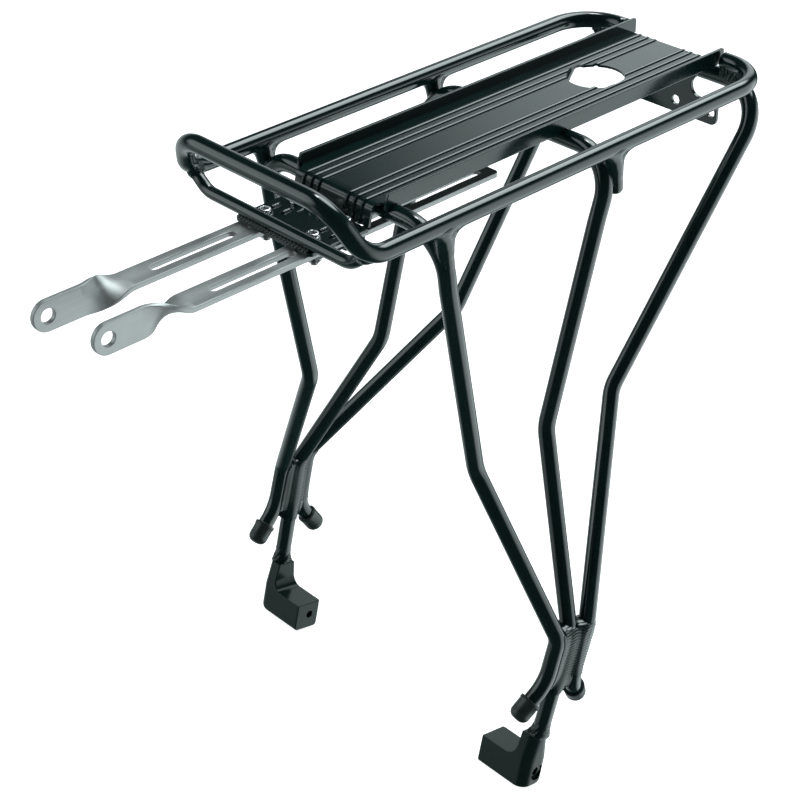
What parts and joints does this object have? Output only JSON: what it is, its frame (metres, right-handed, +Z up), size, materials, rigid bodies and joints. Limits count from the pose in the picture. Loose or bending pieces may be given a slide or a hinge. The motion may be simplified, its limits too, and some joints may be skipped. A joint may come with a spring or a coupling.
{
  "type": "rear rack",
  "caption": "Tubular steel bicycle rear rack with a rail loop, inverted-U legs, ribbed deck, foot blocks, light bracket and sliding slotted stay arms.",
  "frame": {"origin": "midway between the two foot holes, on their common axis, which is where the rack bolts to the bicycle's frame ends", "axes": "+X towards the rear of the bicycle, +Y to the bicycle's right, +Z up"},
  "size_m": [0.4592, 0.2566, 0.4002],
  "materials": {
    "frame_paint": "satin",
    "deck_paint": "satin",
    "foot_paint": "satin",
    "cap": "satin",
    "stay_steel": "satin",
    "fastener": "polished"
  },
  "bodies": {
    "frame": {"rail_loop": "frame_paint", "front_cross_tube": "frame_paint", "front_leg_tube": "frame_paint", "middle_leg_tube": "frame_paint", "rear_leg_tube": "frame_paint", "deck": "deck_paint", "stay_bracket": "frame_paint", "light_bracket": "frame_paint", "left_foot": "foot_paint", "right_foot": "foot_paint", "left_front_cap": "cap", "right_front_cap": "cap", "left_rear_cap": "cap", "right_rear_cap": "cap", "left_stay_bolts": "fastener", "right_stay_bolts": "fastener", "left_stay_washers": "fastener", "right_stay_washers": "fastener", "left_stay_nuts": "fastener", "right_stay_nuts": "fastener", "left_clamp_plate": "frame_paint", "right_clamp_plate": "frame_paint", "left_leg_welds": "frame_paint", "right_leg_welds": "frame_paint", "left_foot_weld": "frame_paint", "right_foot_weld": "frame_paint", "left_rail_welds": "frame_paint", "right_rail_welds": "frame_paint", "front_welds": "frame_paint", "deck_welds": "frame_paint", "light_bracket_weld": "frame_paint"},
    "left_stay": {"left_stay_arm": "stay_steel"},
    "right_stay": {"right_stay_arm": "stay_steel"}
  },
  "joints": [
    {"name": "left_stay_slide", "type": "slide", "parent": "frame", "child": "left_stay", "axis": [-1, 0, 0], "range_m": [-0.001, 0.094]},
    {"name": "right_stay_slide", "type": "slide", "parent": "frame", "child": "right_stay", "axis": [-1, 0, 0], "range_m": [-0.009, 0.086]}
  ]
}
